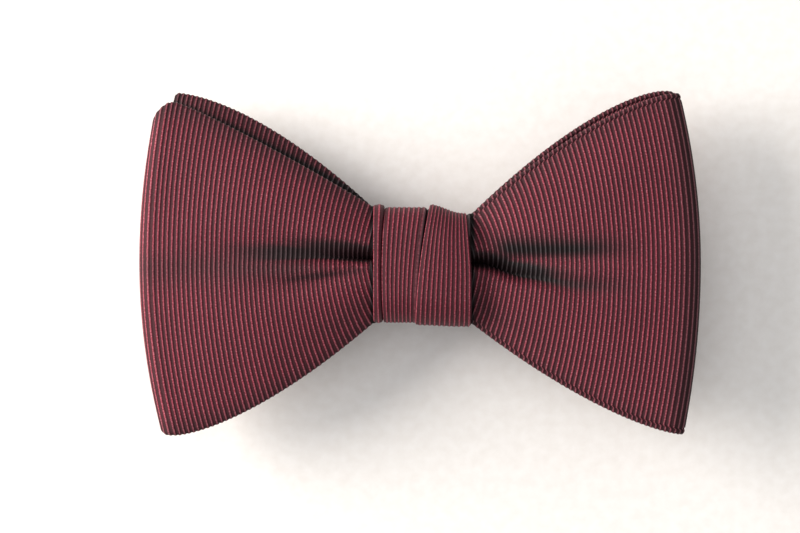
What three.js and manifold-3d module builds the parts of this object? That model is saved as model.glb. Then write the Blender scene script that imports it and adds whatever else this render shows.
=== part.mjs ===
// A pre-tied butterfly bow tie, lying on its back with its neck band folded in a zigzag behind it.
// Units are millimetres. +X runs across the bow, +Y to its upper edge, and +Z to its front.
// The band's lowest cloth rests on z = 0. Cloth is drawn at its real thickness, ply by ply.
import * as THREE from 'three';
import Module from 'manifold-3d';

const wasm = await Module();
wasm.setup();

// ---- Driving sizes ----

const clearance = 0.3;           // between neighbouring layers

const bowWidth = 120.2;          // over the two outer edges
const bowHeight = 73.2;          // from the lowest corner to the highest
const plyThickness = 0.5;        // one ply of ribbed silk
const interliningThickness = 0.5;
const pleatRise = 3.7;           // how far the pleats beside the middle valley stand up at the knot
const billow = 2.0;              // swell of the front leaves between the knot and the outer edge
const leftFoldRadius = 2.6;      // of the front loop's fold, to the middle of the cloth
const rightFoldRadius = 2.4;     // of the back loop's fold

const knotWidth = 20.8;
const knotOffsetX = 0.35;        // the knot sits a little to the right of the bow's middle
const knotOffsetY = -0.6;        // and a little low
const gatherHeight = 19.8;       // height of the gathered middle inside the knot
const knotClothThickness = 1.6;  // a folded strip
const knotInterliningThickness = 0.6;
const knotFrontRadius = 6.5;
const knotBackRadius = 3.0;
const throatInset = 0.6;         // leaves start this much inside the knot's upper and lower faces
const pleatNotch = 1.6;          // valley between the pleats inside the knot
const bindingWidth = 1.8;
const bindingThickness = 0.8;
const stitchRadius = 0.25;
const stitchSwing = 1.3;         // sideways reach of the closing stitches
const stitchCount = 4;           // full zigzags of thread

const bandWidth = 18;
const bandPly = 0.35;
const bandPlay = 0.25;           // air between the sleeve and its interlining
const bandCore = 0.3;
const foldInset = 5.5;           // outer folds sit this far inside the bow's outer edges
const innerFoldX = 5;            // distance of the inner folds from the middle

const metal = 0.9;               // sheet thickness of the hook, eye and slide
const metalSidePlay = 0.4;       // between the strap's edge and a metal rail
const metalRail = 1.4;
const strapBar = 1.0;            // bar that the strap turns round
const barClearance = 0.45;       // lets that bar swing inside the strap's turn
const eyeLength = 12.7;
const eyeFrontBar = 1.6;
const hookLength = 12.7;
const hookSlot = 3.0;
const hookFrontBar = 2;
const hookTongueWidth = 9;
const hookBend = 1.0;            // middle radius of the hook's bend
const strapBarX = 46;            // centre of the strap's turn round the hook's and the eye's bar
const eyeFlap = 16;              // sewn flap beyond the eye
const hookFlap = 3;
const tackWidth = 1.0;
const tackLength = 14;
const slideLength = 14;
const slideBar = 2;
const slideX = 21;               // middle bar of the size slide
const loopPly = 0.5;             // cloth sewn round the slide's middle bar
const loopTail = 3.2;

// ---- Levels, from the surface up ----

const bandThickness = 2 * (bandPly + bandPlay) + bandCore;
const barRoom = metal + 2 * barClearance;
const returnLevel = bandThickness / 2;
const endLevel = returnLevel + bandThickness + barRoom;
const barLevel = (returnLevel + endLevel) / 2;
const slideTopLevel = endLevel + bandThickness / 2 + clearance + metal / 2;
const passLevel = slideTopLevel + metal / 2 + clearance + bandThickness / 2;
const knotBack = passLevel + bandThickness / 2 + clearance;
const knotLining = knotClothThickness + clearance + knotInterliningThickness;
const middleLevel = knotBack + knotLining + clearance + bandThickness / 2;
const bowBack = middleLevel + bandThickness / 2 + clearance;
const leafThickness = 2 * (plyThickness + clearance) + interliningThickness;
const layerPitch = leafThickness + clearance;
const layer = [0, 1, 2].map((count) => bowBack + leafThickness / 2 + count * layerPitch);
const gatherFront = layer[2] + leafThickness / 2 + pleatRise;
const knotFront = gatherFront + clearance + knotLining;
const gatherHalf = Math.max(gatherHeight / 2, bandWidth / 2 + clearance);
const knotHalf = gatherHalf + clearance + knotLining;
const outerFoldX = bowWidth / 2 - foldInset;

// ---- Materials ----

const cloth = (color) => new THREE.MeshStandardMaterial({ color, roughness: 0.62, metalness: 0 });
const silk = () => cloth(0x54262e);
const liningSilk = () => cloth(0x3f1f25);
const interlining = () => cloth(0xd8d2c4);
const thread = () => cloth(0x30171c);
const nickel = () => new THREE.MeshStandardMaterial({ color: 0xb9b7b1, roughness: 0.3, metalness: 1 });

// ---- Solid builders ----

const bow = new THREE.Group();

function addPiece(name, geometry, material) {
  const mesh = new THREE.Mesh(geometry, material);
  mesh.name = name;
  bow.add(mesh);
}

// Six times the volume inside an indexed surface: negative when its faces point inwards.
function signedVolume(positions, index) {
  const [a, b, c] = [new THREE.Vector3(), new THREE.Vector3(), new THREE.Vector3()];
  let total = 0;
  for (let i = 0; i < index.length; i += 3) {
    a.fromArray(positions, 3 * index[i]);
    b.fromArray(positions, 3 * index[i + 1]);
    c.fromArray(positions, 3 * index[i + 2]);
    total += a.dot(b.cross(c));
  }
  return total;
}

function closedGeometry(positions, index) {
  const outward = signedVolume(positions, index) > 0;
  const geometry = new THREE.BufferGeometry();
  geometry.setAttribute('position', new THREE.Float32BufferAttribute(positions, 3));
  geometry.setIndex(outward ? index : index.reverse());
  return geometry;
}

// A closed slab between two grids of points: surface(u, v, side) with u in 0..1, v in -1..1, side 1 or -1.
function slab(surface, uSteps, vSteps) {
  const positions = [];
  const index = [];
  const row = vSteps + 1;
  const gridSize = (uSteps + 1) * row;
  for (const side of [1, -1]) {
    for (let i = 0; i <= uSteps; i++) {
      for (let j = 0; j <= vSteps; j++) {
        positions.push(...surface(i / uSteps, -1 + (2 * j) / vSteps, side).toArray());
      }
    }
  }
  const top = (i, j) => i * row + j;
  const bottom = (i, j) => gridSize + top(i, j);
  const quad = (a, b, c, d) => index.push(a, b, c, a, c, d);
  for (let i = 0; i < uSteps; i++) {
    for (let j = 0; j < vSteps; j++) {
      quad(top(i, j), top(i + 1, j), top(i + 1, j + 1), top(i, j + 1));
      quad(bottom(i, j), bottom(i, j + 1), bottom(i + 1, j + 1), bottom(i + 1, j));
    }
    quad(top(i, 0), bottom(i, 0), bottom(i + 1, 0), top(i + 1, 0));
    quad(top(i, vSteps), top(i + 1, vSteps), bottom(i + 1, vSteps), bottom(i, vSteps));
  }
  for (let j = 0; j < vSteps; j++) {
    quad(top(0, j), top(0, j + 1), bottom(0, j + 1), bottom(0, j));
    quad(top(uSteps, j), bottom(uSteps, j), bottom(uSteps, j + 1), top(uSteps, j + 1));
  }
  return closedGeometry(positions, index);
}

// A closed body through sections across X, each { x, outline } with the same count of (y, z) points.
function loftAlongX(sections) {
  const positions = [];
  const index = [];
  const count = sections[0].outline.length;
  for (const { x, outline } of sections) {
    outline.forEach((point) => positions.push(x, point.x, point.y));
  }
  for (let s = 0; s + 1 < sections.length; s++) {
    for (let i = 0; i < count; i++) {
      const [a, b] = [s * count + i, s * count + ((i + 1) % count)];
      index.push(a, b, b + count, a, b + count, a + count);
    }
  }
  const last = (sections.length - 1) * count;
  for (const [a, b, c] of THREE.ShapeUtils.triangulateShape(sections[0].outline, [])) {
    index.push(c, b, a, last + a, last + b, last + c);
  }
  return closedGeometry(positions, index);
}

const yzToWorld = new THREE.Matrix4().makeBasis(
  new THREE.Vector3(0, 1, 0), new THREE.Vector3(0, 0, 1), new THREE.Vector3(1, 0, 0));
const xzToWorld = new THREE.Matrix4().makeBasis(
  new THREE.Vector3(1, 0, 0), new THREE.Vector3(0, 0, 1), new THREE.Vector3(0, -1, 0));

function extrude(shape, depth, curveSegments = 4) {
  return new THREE.ExtrudeGeometry(shape, { depth, bevelEnabled: false, curveSegments });
}

// A shape drawn in (y, z), run from x0 to x1.
function alongX(shape, x0, x1) {
  return extrude(shape, x1 - x0).applyMatrix4(yzToWorld).translate(x0, 0, 0);
}

// A shape drawn in (x, z), run across a width centred on the knot's middle height.
function acrossY(shape, width) {
  return extrude(shape, width, 6).applyMatrix4(xzToWorld).translate(0, knotOffsetY + width / 2, 0);
}

function rectangle(x0, x1, y0, y1) {
  return new THREE.Shape([[x0, y0], [x1, y0], [x1, y1], [x0, y1]].map(([x, y]) => new THREE.Vector2(x, y)));
}

function box(x0, x1, y0, y1, z0, z1) {
  return extrude(rectangle(x0, x1, y0, y1), z1 - z0).translate(0, 0, z0);
}

function mirrored(geometry, side) {
  if (side > 0) return geometry;
  const flipped = geometry.scale(-1, 1, 1);
  const positions = Array.from(flipped.getAttribute('position').array);
  const cornersInOrder = () => Array.from({ length: positions.length / 3 }, (_, corner) => corner);
  const index = flipped.index ? Array.from(flipped.index.array) : cornersInOrder();
  return closedGeometry(positions, index);
}

// Joins overlapping closed geometries into one body.
function joined(...geometries) {
  const solids = geometries.map((geometry) => {
    const mesh = new wasm.Mesh({ numProp: 3, ...weldedArrays(geometry) });
    return new wasm.Manifold(mesh);
  });
  const { vertProperties, triVerts } = solids.reduce((whole, next) => whole.add(next)).getMesh();
  return closedGeometry(Array.from(vertProperties), Array.from(triVerts));
}

function weldedArrays(geometry) {
  const source = geometry.getAttribute('position');
  const seen = new Map();
  const vertProperties = [];
  const triVerts = [];
  const cornerCount = geometry.index ? geometry.index.count : source.count;
  for (let i = 0; i < cornerCount; i++) {
    const vertex = geometry.index ? geometry.index.getX(i) : i;
    const corner = [source.getX(vertex), source.getY(vertex), source.getZ(vertex)];
    const key = corner.map((value) => value.toFixed(4)).join();
    if (!seen.has(key)) {
      seen.set(key, seen.size);
      vertProperties.push(...corner);
    }
    triVerts.push(seen.get(key));
  }
  return { vertProperties: Float32Array.from(vertProperties), triVerts: Uint32Array.from(triVerts) };
}

// ---- Wings ----

// Outline of a leaf: x grows to the outer edge, which bows out between its corners; the upper and
// lower edges leave the knot steeply and level out. fullness 1 is a straight edge.
const throatTop = knotOffsetY + knotHalf - throatInset;
const throatBottom = -knotOffsetY + knotHalf - throatInset;

const leaves = {
  left_loop: {
    side: -1, edge: bowWidth / 2, topInset: 4.6, bottomInset: 4.6,
    top: bowHeight / 2 - 3.0, bottom: bowHeight / 2 - 0.1, topFullness: 1.05, bottomFullness: 1.5,
  },
  left_end: {
    side: -1, edge: bowWidth / 2 - 2.6, topInset: 4.4, bottomInset: 4.5,
    top: bowHeight / 2, bottom: bowHeight / 2 - 3.0, topFullness: 1.6, bottomFullness: 1.4,
  },
  right_end: {
    side: 1, edge: bowWidth / 2 - 0.7, topInset: 3.5, bottomInset: 3.5,
    top: bowHeight / 2 - 1.5, bottom: bowHeight / 2, topFullness: 1.7, bottomFullness: 1.45,
  },
  right_loop: {
    side: 1, edge: bowWidth / 2, topInset: 4.9, bottomInset: 2.9,
    top: bowHeight / 2 - 0.6, bottom: bowHeight / 2 - 3.9, topFullness: 1.7, bottomFullness: 1.45,
  },
};

const knotLeftX = knotOffsetX - knotWidth / 2;
const knotRightX = knotOffsetX + knotWidth / 2;
const throatX = (side) => (side < 0 ? -knotLeftX : knotRightX) + clearance;

function leafPoint(leaf, u, v, edgeShortening = 0) {
  const upper = v >= 0;
  const throat = upper ? throatTop : throatBottom;
  const corner = upper ? leaf.top : leaf.bottom;
  const fullness = upper ? leaf.topFullness : leaf.bottomFullness;
  const inset = upper ? leaf.topInset : leaf.bottomInset;
  const height = throat + (corner - throat) * (1 - (1 - u) ** fullness);
  const edge = leaf.edge - inset * v * v - edgeShortening;
  const start = throatX(leaf.side);
  return new THREE.Vector2(leaf.side * (start + (edge - start) * u), v * height);
}

// Front leaves stand up in two pleats beside a middle valley at the knot, and swell further out.
function frontLoft(u, v) {
  const pleats = pleatRise * (1 - u) ** 1.5 * Math.sin(Math.PI * v) ** 2;
  const swell = billow * Math.sin(Math.PI * u) * (1 - v * v);
  return pleats + swell;
}

const plyOffset = (interliningThickness + plyThickness) / 2 + clearance;
const pliesOfLeaf = {
  face_ply: { offset: plyOffset, thickness: plyThickness, material: silk },
  interlining: { offset: 0, thickness: interliningThickness, material: interlining },
  lining_ply: { offset: -plyOffset, thickness: plyThickness, material: liningSilk },
};
const leafSteps = 6;
const foldSteps = 4;
const heightSteps = 8;

function addFlatLeaf(name, height) {
  for (const [ply, { offset, thickness, material }] of Object.entries(pliesOfLeaf)) {
    const surface = (u, v, side) => {
      const place = leafPoint(leaves[name], u, v);
      return new THREE.Vector3(place.x, place.y, height(u, v) + offset + (side * thickness) / 2);
    };
    addPiece(`${name}_${ply}`, slab(surface, leafSteps, heightSteps), material());
  }
}

// A leaf folded back on itself: out along the lower layer, round the fold, back along the upper.
function addLoop(name, foldRadius, lowerHeight, upperHeight) {
  const leaf = leaves[name];
  const steps = 2 * leafSteps + foldSteps;
  const shortening = foldRadius + leafThickness / 2;
  for (const [ply, { offset, thickness, material }] of Object.entries(pliesOfLeaf)) {
    const surface = (t, v, side) => {
      const out = offset + (side * thickness) / 2;
      const step = t * steps;
      const onLower = step <= leafSteps;
      const u = Math.min(onLower ? step / leafSteps : (steps - step) / leafSteps, 1);
      const place = leafPoint(leaf, u, v, shortening);
      if (onLower) return new THREE.Vector3(place.x, place.y, lowerHeight(u, v) - out);
      if (u < 1) return new THREE.Vector3(place.x, place.y, upperHeight(u, v) + out);
      const turn = Math.PI * ((step - leafSteps) / foldSteps - 0.5);
      const middle = (lowerHeight(1, v) + upperHeight(1, v)) / 2;
      const reach = (foldRadius + out) * Math.cos(turn);
      const rise = (foldRadius + out) * Math.sin(turn);
      return new THREE.Vector3(place.x + leaf.side * reach, place.y, middle + rise);
    };
    addPiece(`${name}_${ply}`, slab(surface, steps, heightSteps), material());
  }
}

const leftLift = 2 * leftFoldRadius - layerPitch;
const rightLift = 2 * rightFoldRadius - layerPitch;
addLoop('left_loop', leftFoldRadius, () => layer[1], (u, v) => layer[2] + leftLift * u + frontLoft(u, v));
addFlatLeaf('left_end', () => layer[0]);
addLoop('right_loop', rightFoldRadius, () => layer[0], (u) => layer[1] + rightLift * u);
addFlatLeaf('right_end', (u, v) => layer[2] + rightLift * u + frontLoft(u, v));

// ---- Gathered middle, binding and knot ----

const innerFrontRadius = knotFrontRadius - knotLining - clearance;
const gatherX = knotWidth / 2 - clearance;

// Outline in (y, z) with its own radius on the back (low z) and the front (high z) corners.
function roundedOutline(halfHeight, low, high, backRadius, frontRadius) {
  const shape = new THREE.Shape();
  const [left, right] = [knotOffsetY - halfHeight, knotOffsetY + halfHeight];
  shape.moveTo(left + backRadius, low);
  shape.absarc(right - backRadius, low + backRadius, backRadius, -Math.PI / 2, 0);
  shape.absarc(right - frontRadius, high - frontRadius, frontRadius, 0, Math.PI / 2);
  shape.absarc(left + frontRadius, high - frontRadius, frontRadius, Math.PI / 2, Math.PI);
  shape.absarc(left + backRadius, low + backRadius, backRadius, Math.PI, 1.5 * Math.PI);
  return shape;
}

// Outline of the knot's cross-section, drawn in by an inset.
function knotOutline(inset) {
  const backRadius = Math.max(knotBackRadius - inset, clearance);
  const frontRadius = knotFrontRadius - inset;
  return roundedOutline(knotHalf - inset, knotBack + inset, knotFront - inset, backRadius, frontRadius);
}

function addKnotRing(name, outerInset, thickness, halfWidth, material) {
  const ring = knotOutline(outerInset);
  ring.holes.push(knotOutline(outerInset + thickness));
  addPiece(name, alongX(ring, knotOffsetX - halfWidth, knotOffsetX + halfWidth), material);
}

const interliningInset = knotClothThickness + clearance;
addKnotRing('knot_cloth', 0, knotClothThickness, knotWidth / 2, silk());
addKnotRing('knot_interlining', interliningInset, knotInterliningThickness, gatherX, interlining());

// The gathered cloth narrows to a waist under the binding.
const gatherMiddle = (bowBack + gatherFront) / 2;
const waistInset = bindingThickness + clearance;
const gatherHalfDepth = (gatherFront - bowBack) / 2;

function gathered(outline) {
  const waist = outline.map((point) => new THREE.Vector2(
    knotOffsetY + (point.x - knotOffsetY) * (1 - waistInset / gatherHalf),
    gatherMiddle + (point.y - gatherMiddle) * (1 - waistInset / gatherHalfDepth)));
  const waistHalf = bindingWidth / 2 + clearance;
  const stations = [[-gatherX, outline], [-2 * waistHalf, outline], [-waistHalf, waist],
    [waistHalf, waist], [2 * waistHalf, outline], [gatherX, outline]];
  return loftAlongX(stations.map(([x, points]) => ({ x: knotOffsetX + x, outline: points })));
}

function frontGatherOutline() {
  const low = layer[2] - leafThickness / 2;
  const bend = innerFrontRadius;
  const [left, right] = [knotOffsetY - gatherHalf, knotOffsetY + gatherHalf];
  const shape = new THREE.Shape();
  shape.moveTo(left, low);
  shape.lineTo(right, low);
  shape.absarc(right - bend, gatherFront - bend, bend, 0, Math.PI / 2);
  shape.lineTo(knotOffsetY + pleatNotch, gatherFront);
  shape.lineTo(knotOffsetY, gatherFront - pleatNotch);
  shape.lineTo(knotOffsetY - pleatNotch, gatherFront);
  shape.absarc(left + bend, gatherFront - bend, bend, Math.PI / 2, Math.PI);
  return shape.getPoints(4).slice(0, -1);
}

const backGather = rectangle(
  knotOffsetY - gatherHalf, knotOffsetY + gatherHalf, bowBack, layer[1] + leafThickness / 2);
addPiece('front_bow_centre', gathered(frontGatherOutline()), silk());
addPiece('back_bow_centre', gathered(backGather.getPoints(1).slice(0, 4)), silk());

const binding = roundedOutline(gatherHalf, bowBack, gatherFront, clearance, innerFrontRadius);
binding.holes.push(roundedOutline(gatherHalf - bindingThickness, bowBack + bindingThickness,
  gatherFront - bindingThickness, clearance, innerFrontRadius - bindingThickness));
addPiece('centre_binding',
  alongX(binding, knotOffsetX - bindingWidth / 2, knotOffsetX + bindingWidth / 2), thread());

// One thread zigzags over the seam at the knot's back, between the two inner folds of the band.
class StitchPath extends THREE.Curve {
  getPoint(t, target = new THREE.Vector3()) {
    const x = stitchSwing * Math.sin(2 * Math.PI * stitchCount * t);
    const y = knotOffsetY + (t - 0.5) * (gatherHeight - 2 * knotBackRadius);
    return target.set(x, y, knotBack - clearance - stitchRadius);
  }
}
const stitchSection = new THREE.Shape();
stitchSection.absarc(0, 0, stitchRadius, 0, 2 * Math.PI);
addPiece('knot_stitches', new THREE.ExtrudeGeometry(stitchSection, {
  steps: 8 * stitchCount, curveSegments: 3, extrudePath: new StitchPath(), bevelEnabled: false,
}), thread());

// ---- Neck band ----

// A run of the band: an open-ended sleeve with its interlining inside.
function addRun(name, x0, x1, level) {
  const section = (half, halfThickness) => rectangle(
    knotOffsetY - half, knotOffsetY + half, level - halfThickness, level + halfThickness);
  const sleeve = section(bandWidth / 2, bandThickness / 2);
  sleeve.holes.push(section(bandWidth / 2 - bandPly, bandThickness / 2 - bandPly));
  addPiece(`${name}_sleeve`, alongX(sleeve, x0, x1), silk());
  const core = section(bandWidth / 2 - bandPly - bandPlay, bandCore / 2);
  addPiece(`${name}_core`, alongX(core, x0 + bandPly, x1 - bandPly), interlining());
}

// The band turned half round between two levels, bulging to positive x, with an optional lower flap.
function turnShape(x, low, high, flap = 0) {
  const middle = (low + high) / 2;
  const radius = (high - low) / 2;
  const [outer, inner] = [radius + bandThickness / 2, radius - bandThickness / 2];
  const shape = new THREE.Shape();
  shape.moveTo(x - flap, middle - outer);
  if (flap > 0) shape.lineTo(x, middle - outer);
  shape.absarc(x, middle, outer, -Math.PI / 2, Math.PI / 2);
  shape.absarc(x, middle, inner, Math.PI / 2, -Math.PI / 2, true);
  if (flap > 0) shape.lineTo(x - flap, middle - inner);
  return shape;
}

addRun('band_middle', -outerFoldX + clearance, outerFoldX - clearance, middleLevel);

const endStart = innerFoldX + clearance;
const endStop = strapBarX - clearance;
for (const [word, side] of [['left', -1], ['right', 1]]) {
  const span = (x0, x1) => (side > 0 ? [x0, x1] : [-x1, -x0]);
  addRun(`band_${word}_pass`, ...span(innerFoldX + clearance, outerFoldX - clearance), passLevel);
  addRun(`band_${word}_end`, ...span(endStart, endStop), endLevel);
  const outerTurn = acrossY(turnShape(outerFoldX, passLevel, middleLevel), bandWidth);
  addPiece(`band_${word}_outer_fold`, mirrored(outerTurn, side), silk());
  const innerTurn = acrossY(turnShape(-innerFoldX, endLevel, passLevel), bandWidth);
  addPiece(`band_${word}_inner_fold`, mirrored(innerTurn, -side), silk());
}

// ---- Closure: eye on the left, hook and size slide on the right ----

const frameHalf = bandWidth / 2 + metalSidePlay + metalRail;
const windowHalf = bandWidth / 2 + metalSidePlay;
const barStart = strapBarX - strapBar / 2;

// A flat frame with one window, drawn in (x, y) from the strap's bar outwards.
function framePlate(length, [windowStart, windowStop]) {
  const plate = rectangle(barStart, barStart + length, knotOffsetY - frameHalf, knotOffsetY + frameHalf);
  plate.holes.push(rectangle(windowStart, windowStop, knotOffsetY - windowHalf, knotOffsetY + windowHalf));
  return extrude(plate, metal).translate(0, 0, barLevel - metal / 2);
}

const eyeWindow = [barStart + strapBar, barStart + eyeLength - eyeFrontBar];
addPiece('eye', mirrored(framePlate(eyeLength, eyeWindow), -1), nickel());

const hookPlateEnd = barStart + strapBar + hookSlot + hookFrontBar;
const hookTurnX = barStart + hookLength - hookBend - metal / 2;
const tongue = new THREE.Shape();
const tongueStart = hookPlateEnd - hookFrontBar / 2;
tongue.moveTo(tongueStart, barLevel - metal / 2);
tongue.lineTo(hookTurnX, barLevel - metal / 2);
tongue.absarc(hookTurnX, barLevel + hookBend, hookBend + metal / 2, -Math.PI / 2, Math.PI / 2);
tongue.lineTo(hookPlateEnd, barLevel + 2 * hookBend + metal / 2);
tongue.lineTo(hookPlateEnd, barLevel + 2 * hookBend - metal / 2);
tongue.absarc(hookTurnX, barLevel + hookBend, hookBend - metal / 2, Math.PI / 2, -Math.PI / 2, true);
tongue.lineTo(tongueStart, barLevel + metal / 2);
const hookWindow = [barStart + strapBar, hookPlateEnd - hookFrontBar];
const hookPlate = framePlate(hookPlateEnd - barStart, hookWindow);
addPiece('hook', joined(hookPlate, acrossY(tongue, hookTongueWidth)), nickel());

const eyeLoop = acrossY(turnShape(strapBarX, returnLevel, endLevel, eyeFlap), bandWidth);
addPiece('eye_loop', mirrored(eyeLoop, -1), silk());
addPiece('hook_loop', acrossY(turnShape(strapBarX, returnLevel, endLevel, hookFlap), bandWidth), silk());

const eyeTackX = -(strapBarX - eyeFlap / 2);
addPiece('eye_tack', box(eyeTackX - tackWidth / 2, eyeTackX + tackWidth / 2, knotOffsetY - tackLength / 2,
  knotOffsetY + tackLength / 2, barLevel - metal / 2, barLevel + metal / 2), thread());

// The slide's sides dip from its outer bars, over the strap, to its middle bar, below the strap.
const loopInner = metal + 2 * clearance;
const loopOuter = loopInner + 2 * loopPly;
const slideLowLevel = loopOuter / 2;
const slideHalf = slideLength / 2;
const railMiddle = [
  [-slideHalf, slideTopLevel], [-slideHalf + slideBar, slideTopLevel], [-slideBar / 2, slideLowLevel],
  [slideBar / 2, slideLowLevel], [slideHalf - slideBar, slideTopLevel], [slideHalf, slideTopLevel],
];
const railPoints = (rise) => railMiddle.map(([x, z]) => new THREE.Vector2(slideX + x, z + rise));
const railShape = new THREE.Shape([...railPoints(-metal / 2), ...railPoints(metal / 2).reverse()]);
const rail = (side) => acrossY(railShape, metalRail).translate(0, side * (windowHalf + metalRail / 2), 0);
const crossBar = (x0, x1, level) => box(slideX + x0, slideX + x1, knotOffsetY - windowHalf - metalRail / 2,
  knotOffsetY + windowHalf + metalRail / 2, level - metal / 2, level + metal / 2);
addPiece('slide', joined(rail(-1), rail(1), crossBar(-slideBar / 2, slideBar / 2, slideLowLevel),
  crossBar(-slideHalf, -slideHalf + slideBar, slideTopLevel),
  crossBar(slideHalf - slideBar, slideHalf, slideTopLevel)), nickel());

const loopHalf = slideBar / 2 + clearance;
const slideLoopOutline = new THREE.Shape([
  [slideX - loopHalf - loopPly, 0], [slideX + loopTail, 0], [slideX + loopTail, bandThickness],
  [slideX + loopHalf + loopPly, bandThickness], [slideX + loopHalf + loopPly, loopOuter],
  [slideX - loopHalf - loopPly, loopOuter],
].map(([x, z]) => new THREE.Vector2(x, z)));
slideLoopOutline.holes.push(rectangle(slideX - loopHalf, slideX + loopHalf, loopPly, loopPly + loopInner));
addPiece('slide_loop', acrossY(slideLoopOutline, bandWidth), silk());

const tackEnd = slideX + loopTail;
addPiece('slide_tack', box(tackEnd - tackWidth, tackEnd, knotOffsetY - tackLength / 2,
  knotOffsetY + tackLength / 2, bandThickness + clearance, loopOuter), thread());

const strandStart = slideX + loopTail + clearance;
const strandStop = strapBarX - hookFlap - clearance;
addPiece('return_strand', acrossY(rectangle(strandStart, strandStop, 0, bandThickness), bandWidth), silk());

export default bow;
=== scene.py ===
"""A ready-tied butterfly bow of ribbed silk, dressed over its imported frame. Everything is in metres.

The bow lies on its back. Each half is two lined leaves, the knot is a strip wound round their
gathered middles, and the neck band lies folded in a zigzag behind them.
"""
import math

import bmesh
import bpy
import numpy as np
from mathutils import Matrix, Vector


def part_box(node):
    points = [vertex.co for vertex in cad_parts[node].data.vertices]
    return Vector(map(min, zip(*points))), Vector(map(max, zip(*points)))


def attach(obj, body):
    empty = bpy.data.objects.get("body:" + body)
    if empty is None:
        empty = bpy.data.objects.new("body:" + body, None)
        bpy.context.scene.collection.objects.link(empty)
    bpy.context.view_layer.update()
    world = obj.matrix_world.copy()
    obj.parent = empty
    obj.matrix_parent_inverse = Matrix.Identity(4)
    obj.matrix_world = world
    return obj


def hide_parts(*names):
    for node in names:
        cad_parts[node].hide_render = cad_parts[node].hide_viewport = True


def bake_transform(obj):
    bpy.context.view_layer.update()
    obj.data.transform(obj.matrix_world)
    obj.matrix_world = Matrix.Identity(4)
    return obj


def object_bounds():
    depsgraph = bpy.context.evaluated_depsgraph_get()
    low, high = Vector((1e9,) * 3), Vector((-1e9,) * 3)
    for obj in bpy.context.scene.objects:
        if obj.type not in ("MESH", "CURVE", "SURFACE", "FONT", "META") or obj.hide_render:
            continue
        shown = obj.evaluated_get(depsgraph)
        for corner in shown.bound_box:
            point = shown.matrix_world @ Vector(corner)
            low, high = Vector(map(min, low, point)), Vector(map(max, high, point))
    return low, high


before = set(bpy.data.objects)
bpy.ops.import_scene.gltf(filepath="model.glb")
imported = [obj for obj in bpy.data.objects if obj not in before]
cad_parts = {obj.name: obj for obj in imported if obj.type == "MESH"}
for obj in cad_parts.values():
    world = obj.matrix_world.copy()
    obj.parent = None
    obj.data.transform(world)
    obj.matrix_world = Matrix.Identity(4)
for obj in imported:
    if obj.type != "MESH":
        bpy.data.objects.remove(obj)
cad_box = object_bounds()
MM = 0.001

# ---- Sizes of the cloth, in metres ----

RIB = 1.005 * MM             # from one rib of the silk to the next
KNOT_RIB = 0.93 * MM         # the knot's strip is pulled tight, so its ribs stand closer
RIB_HEIGHT = 0.085 * MM
LEAF_HALF = 0.68 * MM        # half the thickness of a lined leaf
KNOT_HALF = 0.5 * MM         # half the thickness of the knot's strip
STRAP_HALF = 0.66 * MM       # half the thickness of the neck band
THREAD = 0.16 * MM           # radius of the sewing thread
SEAM_SETBACK = 1.15 * MM     # an edge seam lies this far inside the edge
SEAM_DIP = 0.3 * MM          # depth of the dent along an edge seam
KNOT_DEPTH = 11 * MM         # a leaf runs on this far inside the knot

# ---- Places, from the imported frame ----

knot_low, knot_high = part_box("knot_cloth")


def middle_of(node, axis):
    """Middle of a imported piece's box along an axis, 0 for x to 2 for z."""
    low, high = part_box(node)
    return (low[axis] + high[axis]) / 2


LAYER_PITCH = 2.4 * MM       # from one leaf of the bow to the next, where they enter the knot
BACK_LAYER = middle_of("left_end_interlining", 2)
MIDDLE_LAYER = BACK_LAYER + LAYER_PITCH
FRONT_LAYER = MIDDLE_LAYER + LAYER_PITCH


# ---- Small helpers ----

def smooth(t):
    """0 up to t = 0 and 1 from t = 1 on, with a soft step between."""
    t = np.clip(t, 0, 1)
    return t * t * (3 - 2 * t)


def place_in_scene(mesh, name, material):
    """A mesh as an object at the origin, in one material."""
    piece = bpy.data.objects.new(name, mesh)
    bpy.context.scene.collection.objects.link(piece)
    mesh.materials.clear()
    mesh.materials.append(material)
    return piece


def seal(mesh):
    """Welds the mesh's rims, points its faces outwards and shades it smooth."""
    work = bmesh.new()
    work.from_mesh(mesh)
    bmesh.ops.remove_doubles(work, verts=work.verts, dist=0.002 * MM)
    bmesh.ops.dissolve_degenerate(work, edges=work.edges, dist=0.001 * MM)
    bmesh.ops.recalc_face_normals(work, faces=work.faces)
    work.to_mesh(mesh)
    work.free()
    mesh.polygons.foreach_set("use_smooth", [True] * len(mesh.polygons))


def unit_normals(middle, across_wraps):
    """Normals of a grid of points (columns, rows, 3), whose last row may meet its first."""
    along = np.gradient(middle, axis=0)
    if across_wraps:
        across = (np.roll(middle, -1, axis=1) - np.roll(middle, 1, axis=1)) / 2
    else:
        across = np.gradient(middle, axis=1)
    normal = np.cross(along, across)
    return normal / np.maximum(np.linalg.norm(normal, axis=2, keepdims=True), 1e-12)


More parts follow.
